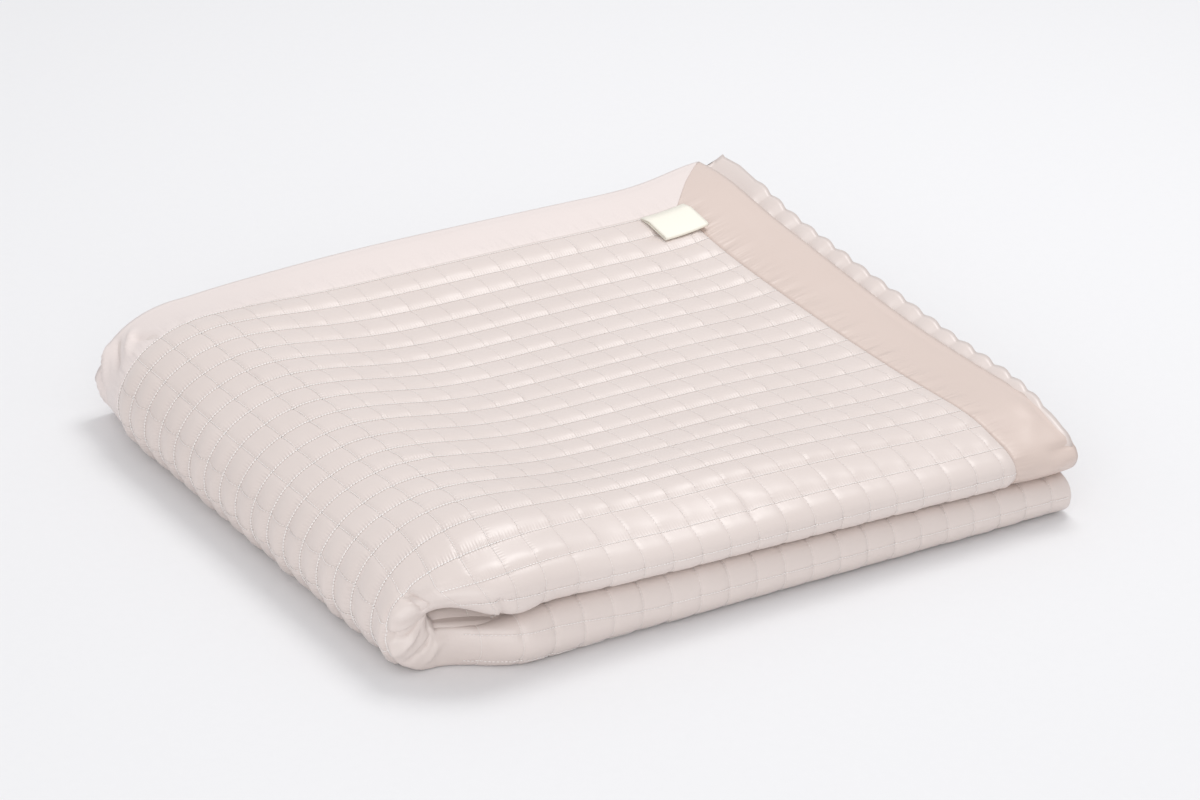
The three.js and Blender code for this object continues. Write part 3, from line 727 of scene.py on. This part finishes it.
# Finishes
satin = {
    "quilt": {"light": (0.755, 0.670, 0.632, 1), "deep": (0.700, 0.612, 0.572, 1), "roughness": 0.37},
    # the along and across strips are one satin in two copies: the along colour is lightened with a painted
    # sheen and the across colour darkened with a painted shade, for how light catches the weave each way
    "along": {"light": (0.825, 0.738, 0.708, 1), "deep": (0.790, 0.698, 0.665, 1), "roughness": 0.46},
    "across": {"light": (0.688, 0.568, 0.512, 1), "deep": (0.650, 0.528, 0.470, 1), "roughness": 0.44},
    "thread": {"light": (0.985, 0.955, 0.935, 1), "deep": (0.950, 0.910, 0.885, 1), "roughness": 0.46},
    "ribbon": {"light": (0.930, 0.900, 0.800, 1), "deep": (0.890, 0.855, 0.750, 1), "roughness": 0.60},
}
weaveSizes = {"Fineness": 46.0, "Cloud size": 11.0}
gloss = {"Sheen Weight": 0.08, "Sheen Roughness": 0.4, "Specular IOR Level": 0.75}
# painted shade in the stitch dimples: a dark brown mixed into the cloth colour where the stitches press it
# in
dimpleShade = {"colour": (0.46, 0.36, 0.31, 1), "strength": 0.36, "reach": 0.024}
puckers = {
    "Stitches per cell": 10.0, "Reach behind": 0.17, "Reach before": 0.055, "Gather reach": 0.24,
    "Stitch depth": 0.00019, "Gather depth": 0.0009, "Column share": 0.55,
}
ripples = {
    "Seam at": 2.22, "Reach": 0.70, "Depth": 0.0042,
    "Rim at": 0.30, "Rim depth": 0.00025, "Rim wander": 0.35, "Rim reach": 0.11,
}


def flatPlaceOf(tree):
    uv = addNode(tree, "ShaderNodeUVMap", uv_map="UVMap").outputs[0]
    return uv, partsOf(tree, uv)


def puckerGroup():
    # dimples at the stitches and fine gathers beside them, on a UV map that counts cells, with a painted
    # shade mask where the dimples press in
    outputs = {"Height": "Float", "Dimple shade": "Float"}
    tree, given = newGroup("stitchPuckers", "ShaderNodeTree", puckers, outputs)
    _, flat = flatPlaceOf(tree)
    strength = addNode(tree, "ShaderNodeAttribute", attribute_name="gathers").outputs["Fac"]
    total, paintedDimpleShade = None, None
    seams = (flat["X"], flat["Y"], 1.0), (flat["Y"], flat["X"], given["Column share"])
    for along, across, share in seams:
        distance = mathOf(tree, "PINGPONG", across, 0.5)
        behind = mathOf(tree, "GREATER_THAN", mathOf(tree, "FRACT", across), 0.5)
        widening = minus(tree, given["Reach behind"], given["Reach before"])
        reach = mathOf(tree, "MULTIPLY_ADD", behind, widening, given["Reach before"])
        turns = times(tree, along, given["Stitches per cell"])
        wave = mathOf(tree, "COSINE", times(tree, turns, 2 * math.pi))
        close = bellOf(tree, distance, reach)
        dimple = times(tree, wave, close, given["Stitch depth"])
        crossed = addNode(tree, "ShaderNodeCombineXYZ", {
            0: times(tree, along, 4.3), 1: times(tree, across, 0.9), 2: share,
        }).outputs[0]
        folds = noiseOf(tree, crossed, detail=2.5)
        beside = bellOf(tree, distance, given["Gather reach"])
        gather = times(tree, folds, beside, given["Gather depth"])
        height = times(tree, minus(tree, gather, dimple), share, strength)
        # painted shade: strongest where the wave presses the cloth in beside a seam
        pressed = mathOf(tree, "MAXIMUM", wave, 0.0)
        dimpleShadeHere = times(tree, bellOf(tree, distance, dimpleShade["reach"]), pressed, share, strength)
        total = height if total is None else mathOf(tree, "ADD", total, height)
        paintedDimpleShade = dimpleShadeHere if paintedDimpleShade is None else mathOf(tree, "MAXIMUM", paintedDimpleShade, dimpleShadeHere)
    addNode(tree, "NodeGroupOutput", {"Height": total, "Dimple shade": paintedDimpleShade})
    return tree


def rippleGroup():
    # a plain strip's small ripples beside its seam, and the pressed line along its rim
    tree, given = newGroup("stripRipples", "ShaderNodeTree", ripples, {"Height": "Float"})
    uv, flat = flatPlaceOf(tree)
    stretched = vectorOf(tree, "MULTIPLY", uv, (2.3, 0.40, 1.0))
    folds = noiseOf(tree, stretched, detail=2.5)
    near = bellOf(tree, minus(tree, flat["Y"], given["Seam at"]), given["Reach"])
    ripple = times(tree, folds, near, given["Depth"])
    wander = minus(tree, noiseOf(tree, uv, 0.35), 0.5)
    rimPlace = mathOf(tree, "MULTIPLY_ADD", wander, given["Rim wander"], given["Rim at"])
    rim = bellOf(tree, minus(tree, flat["Y"], rimPlace), given["Rim reach"])
    height = minus(tree, ripple, times(tree, rim, given["Rim depth"]))
    addNode(tree, "NodeGroupOutput", {"Height": height})
    return tree


def weaveGroup():
    # satin: fine floats one way, and a broad uneven sheen
    outputs = {"Height": "Float", "Cloud": "Float"}
    tree, given = newGroup("satinWeave", "ShaderNodeTree", weaveSizes, outputs)
    uv, _ = flatPlaceOf(tree)
    floats = noiseOf(tree, vectorOf(tree, "MULTIPLY", uv, (0.20, 1.0, 1.0)), given["Fineness"])
    cloud = noiseOf(tree, addNode(tree, "ShaderNodeTexCoord").outputs["Object"], given["Cloud size"], 3.0)
    addNode(tree, "NodeGroupOutput", {"Height": floats, "Cloud": cloud})
    return tree


def newMaterial(name):
    material = bpy.data.materials.new(name)
    material.use_nodes = True
    return material, material.node_tree, material.node_tree.nodes["Principled BSDF"]


def satinMaterial(name, finish, weaveDepth, relief=None):
    material, tree, shader = newMaterial(name)
    weaving = groupOf(tree, weave).outputs
    colour = colourMix(tree, weaving["Cloud"], finish["light"], finish["deep"])
    height = times(tree, weaving["Height"], weaveDepth)
    if relief:
        group, values = relief
        made = groupOf(tree, group, **values).outputs
        height = mathOf(tree, "ADD", height, made["Height"])
        # painted shade in the stitch dimples, mixed into the cloth colour
        if "Dimple shade" in made:
            shade = times(tree, made["Dimple shade"], dimpleShade["strength"])
            colour = colourMix(tree, shade, colour, dimpleShade["colour"])
    roughness = mathOf(tree, "MULTIPLY_ADD", weaving["Height"], 0.10, finish["roughness"] - 0.05)
    bump = addNode(tree, "ShaderNodeBump", {"Strength": 1.0, "Distance": 1.0, "Height": height}).outputs[0]
    for socket, source in (("Base Color", colour), ("Roughness", roughness), ("Normal", bump)):
        tree.links.new(source, shader.inputs[socket])
    for socket, value in gloss.items():
        shader.inputs[socket].default_value = value
    return material


weave = weaveGroup()
pucker = puckerGroup()
ripple = rippleGroup()
quiltSatin = satinMaterial("quiltSatin", satin["quilt"], 0.00003, (pucker, puckers))
# the strip copies carry a painted sheen (along) and a painted shade (across) in their colours
alongSatinPaintedSheen = satinMaterial("stripSatinAlongPaintedSheen", satin["along"], 0.00003, (ripple, ripples))
acrossSatinPaintedShade = satinMaterial("stripSatinAcrossPaintedShade", satin["across"], 0.00003, (ripple, ripples))
threadSatin = satinMaterial("stitchThread", satin["thread"], 0.00002)
ribbonCloth = satinMaterial("labelRibbon", satin["ribbon"], 0.00006)
print("materials made")

cushions = cushionGroup()
quiltTree = shapeTree("quilting", cushions, quilting["offFloor"])
quilt = makePlain(makeQuiltBase(), quiltTree, {"Material": quiltSatin}, "quilt")
print("quilt", trianglesOf(quilt), "triangles")


# The satin border: four strips on the face side, mitred at the corners
border = {
    "gap": 0.0005, "ply": 0.0008, "mitre": 0.0003, "seam": 0.0577, "sink": 0.62, "crown": 0.0016,
    "across": 17, "crumple": (0.545, 0.665, 0.002),
}


def liftedFace(u, t, n, lift):
    return creasedFace(u, u, t, n, lift)[0]


def makeStrip(name, stations, at, crownEnd, finish):
    side = np.linspace(0, 1, border["across"])
    fromEdge = side * border["seam"]
    sink = np.full_like(side, border["sink"])
    cloth = ClothMesh()
    rings = []
    for station in stations:
        u, t, along = at(station, fromEdge)
        crown = border["crown"] * (station < crownEnd) * np.sin(math.pi * side) ** 0.7
        under = liftedFace(u, t, sink, border["gap"])
        over = liftedFace(u, t, sink, border["gap"] + border["ply"] + crown)
        flats = np.stack([along / cell, fromEdge / cell], -1)
        rings.append(cloth.line(np.concatenate([under, over[::-1]]), np.concatenate([flats, flats[::-1]])))
    cloth.joinRings(rings)
    piece = cloth.toObject(name, recalculate=True)
    piece.data.materials.append(finish)
    return piece


def longStrip(name, edge, inwards, shown):
    outer = np.concatenate([np.linspace(0, bandWidth, 12)[:-1], np.arange(bandWidth, clothEnd, cell / 3)])
    if shown:  # more stations where the strip crumples at the corner of the fold
        low, high, step = border["crumple"]
        before, past = outer[outer < low], outer[outer > high + 0.0005]
        outer = np.concatenate([before, np.arange(low, high, step), past])
    turn = clothEnd + turnLength * np.linspace(0, 1, 7)
    inner = np.concatenate([np.linspace(0, bandWidth, 4)[:-1], np.arange(bandWidth, clothEnd, cell)])
    stations = np.concatenate([outer, turn, faceLength - inner[::-1]])

    def at(station, fromEdge):
        u = np.clip(station, fromEdge + border["mitre"], faceLength - fromEdge - border["mitre"])
        return u, edge + inwards * fromEdge, u

    return makeStrip(name, stations, at, lowerStart if shown else 0.0, alongSatinPaintedSheen)


def endStrip(name, face, shown):
    visible = np.concatenate([np.linspace(0, bandWidth, 12)[:-1], np.arange(bandWidth, lastRow, cell / 8)])
    hidden = np.arange(lastRow + cell / 3, clothWidth - bandWidth, cell / 2)
    stations = np.concatenate([visible, hidden, np.linspace(clothWidth - bandWidth, clothWidth, 5)])

    def at(station, fromEdge):
        t = np.clip(station, fromEdge + border["mitre"], clothWidth - fromEdge - border["mitre"])
        return (fromEdge if face > 0 else faceLength - fromEdge), t, t

    return makeStrip(name, stations, at, lastRow if shown else 0.0, acrossSatinPaintedShade)


strips = {
    "band_back_edge": longStrip("borderBack", 0.0, 1, True),
    "band_front_edge": longStrip("borderFront", clothWidth, -1, False),
    "band_top_end": endStrip("borderTopEnd", 1, True),
    "band_under_end": endStrip("borderUnderEnd", -1, False),
}
print("border made")


# The label: a short ribbon turned over on itself, caught in the border's seam
label = {
    "left": 0.197, "right": 0.241, "root": 0.059, "rise": 0.072, "tip": 0.100,
    "seam": 0.0013, "rest": 0.0034, "ply": 0.0006, "loop": 0.0024,
}


def makeLabel():
    reach = (label["loop"] + label["ply"]) / 2
    turn = np.linspace(-math.pi / 2, math.pi / 2, 9)

    def ribbonSide(radius, low, high):
        under = [label["root"], label["rise"]]
        tip = label["tip"] - reach + radius * np.cos(turn)
        t = np.concatenate([under, tip, under[::-1]])
        lowPart = [label["seam"] + low, label["rest"] + low]
        topPart = [label["rest"] + 2 * reach - low, label["seam"] + 2 * label["ply"] + high]
        return t, np.concatenate([lowPart, label["rest"] + reach + radius * np.sin(turn), topPart])

    outT, outLift = ribbonSide(reach, 0.0, 0.0001)
    inT, inLift = ribbonSide(reach - label["ply"], label["ply"], -label["ply"])
    t = np.concatenate([outT, inT[::-1]])
    lift = np.concatenate([outLift, inLift[::-1]])
    cloth = ClothMesh()
    rings = []
    for x in np.linspace(label["left"], label["right"], 15):
        s = np.full_like(t, packet["rightEnd"] - x)
        points = liftedFace(s, t, np.full_like(t, quilting["seamFace"]), lift)
        rings.append(cloth.line(points, np.stack([s / cell, t / cell], -1)))
    cloth.joinRings(rings)
    piece = cloth.toObject("label", recalculate=True)
    piece.data.materials.append(ribbonCloth)
    return piece


labelPiece = makeLabel()
print("label made")


# Stitches along the seams, ten to a cell, lying in the grooves
stitching = {
    "perCell": 10, "length": 0.0020, "rowThick": 0.00052, "columnThick": 0.00026, "thinner": 0.4,
    "lift": 0.00036, "offFloor": 0.0006, "corners": 5, "mostSqueezed": 0.6, "mostGap": 0.01,
}


def makeSeamLines():
    lines = ClothMesh()
    thicknesses = []

    def addLine(s, t, thick):
        seen = squeezedAt(s, t) < stitching["mostSqueezed"]
        s, t = s[seen], t[seen]
        filling = fillingAt(s, s, t)
        filling[:, 2] *= np.where(s > lowerStart, rises(t, "lowerQuilting"), 1)
        n = np.full_like(s, quilting["seamFace"])
        points, outs = creasedFace(s, s, t, n, stitching["lift"])
        made = lines.line(points, cellPlace(s, t), outs, filling)
        gaps = np.hypot(np.diff(s), np.diff(t))
        near = gaps < stitching["mostGap"]
        lines.edges.extend((a, b) for a, b, joined in zip(made, made[1:], near) if joined)
        flat = np.maximum(falls(s, "gathered"), rises(t, "gathersEnd"))
        thicknesses.extend(thick * (1 - stitching["thinner"] * flat))

    def stitchPlaces(first, low, high):
        pitch = cell / stitching["perCell"]
        numbers = np.arange(math.ceil((low - first) / pitch), math.floor((high - first) / pitch))
        return first + pitch * (numbers + 0.5)

    for t in np.arange(bandWidth, lowerLastRow + 1e-6, cell):
        start = bandWidth if t < lastRow + 1e-6 else lowerStart
        end = clothEnd if t > rollStart - cell / 2 else lowerStart
        s = stitchPlaces(firstColumn, start, end)
        addLine(s, np.full_like(s, t), stitching["rowThick"])
    for s in seamsBetween(firstColumn, bandWidth, clothEnd):
        ends = (bandWidth, lastRow) if s < lowerStart else (rollStart, lowerLastRow)
        t = stitchPlaces(bandWidth, *ends)
        addLine(np.full_like(t, s), t, stitching["columnThick"])
    piece = lines.toObject("seamLines")
    piece.data.attributes.new("thickness", "FLOAT", "POINT").data.foreach_set("value", thicknesses)
    return piece


def threadAt(tree, given, line):  # a short thread at every point of the seam lines
    curve = addNode(tree, "GeometryNodeMeshToCurve", {"Mesh": line}).outputs[0]
    tangent = addNode(tree, "GeometryNodeInputTangent").outputs[0]
    turned = addNode(tree, "FunctionNodeAlignRotationToVector", {"Vector": tangent}, axis="Z").outputs[0]
    thick = storedOf(tree, "thickness", "FLOAT")
    scale = addNode(tree, "ShaderNodeCombineXYZ", {0: thick, 1: thick, 2: given["Length"]}).outputs[0]
    thread = {"Vertices": stitching["corners"], "Radius": 1.0, "Depth": 1.0}
    thread = addNode(tree, "GeometryNodeMeshCylinder", thread).outputs["Mesh"]
    places = {"Points": curve, "Instance": thread, "Rotation": turned, "Scale": scale}
    return addNode(tree, "GeometryNodeInstanceOnPoints", places).outputs[0]


threadLength = {"Length": stitching["length"]}
stitchTree = shapeTree("stitches", cushions, stitching["offFloor"], threadLength, threadAt)
threading = {**threadLength, "Material": threadSatin}
stitches = makePlain(makeSeamLines(), stitchTree, threading, "quiltingStitches")
if "UVMap" not in stitches.data.uv_layers:
    stitches.data.uv_layers.new(name="UVMap")
print("stitches", trianglesOf(stitches), "triangles")


# Camera, solved from the quilting's lattice in a 1200 x 800 frame
view = {
    "place": (-1.5965, -2.4595, 1.4579),
    "right": (0.8425, -0.5380, 0.0268), "up": (0.2115, 0.3760, 0.9022), "back": (-0.4954, -0.7544, 0.4306),
    "lens": 120.0, "sensor": 36.0,
}


def makeCamera():
    data = bpy.data.cameras.new("photoView")
    data.lens = view["lens"]
    data.sensor_width = view["sensor"]
    data.clip_end = 50
    camera = addObject("photoView", data)
    axes = Matrix((view["right"], view["up"], view["back"])).transposed()
    camera.matrix_world = Matrix.Translation(view["place"]) @ axes.to_4x4()
    bpy.context.scene.camera = camera


studio = {
    "world": 0.74, "worldColour": (0.985, 0.985, 1.0),
    "lamps": {
        "softbox": {"at": (0.82, 0.35, 2.4), "size": 1.1, "power": 22.0},
        "fill": {"at": (-1.7, -2.1, 1.1), "size": 2.0, "power": 19.0},
    },
    "aim": (0, 0, 0.05),
    "floor": {
        "light": (0.85, 0.85, 0.86, 1), "deep": (0.835, 0.835, 0.845, 1), "reach": 8.0, "drop": 0.0002,
        "roughness": 0.9, "specular": 0.1,
    },
}


def makeStudio():
    scene = bpy.context.scene
    scene.view_settings.view_transform = "Standard"
    scene.world = bpy.data.worlds.new("studio")
    scene.world.use_nodes = True
    background = scene.world.node_tree.nodes["Background"]
    background.inputs["Color"].default_value = (*studio["worldColour"], 1)
    background.inputs["Strength"].default_value = studio["world"]
    for name, values in studio["lamps"].items():
        light = bpy.data.lights.new(name, "AREA")
        light.size = values["size"]
        light.energy = values["power"]
        aim = Vector(studio["aim"]) - Vector(values["at"])
        turned = aim.to_track_quat("-Z", "Y").to_matrix().to_4x4()
        addObject(name, light).matrix_world = Matrix.Translation(values["at"]) @ turned


def makeFloor():
    values = studio["floor"]
    reach, low = values["reach"], -values["drop"]
    mesh = bpy.data.meshes.new("floor")
    corners = [(x * reach, y * reach, low) for x, y in ((-1, -1), (1, -1), (1, 1), (-1, 1))]
    mesh.from_pydata(corners, [], [(0, 1, 2, 3)])
    paper, tree, shader = newMaterial("paper")
    shader.inputs["Roughness"].default_value = values["roughness"]
    shader.inputs["Specular IOR Level"].default_value = values["specular"]
    grain = noiseOf(tree, addNode(tree, "ShaderNodeTexCoord").outputs["Object"], 120.0, 3.0)
    tree.links.new(colourMix(tree, grain, values["light"], values["deep"]), shader.inputs["Base Color"])
    mesh.materials.append(paper)
    floor = addObject("floor", mesh)


makeCamera()
makeStudio()
makeFloor()
print("studio made")

# What stands for what
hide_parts("quilted_panel")
for node, piece in strips.items():
    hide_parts(node)
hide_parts("label")
sewnOn = [*strips.values(), labelPiece, stitches]
for piece in [quilt, *sewnOn]:
    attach(piece, "root")
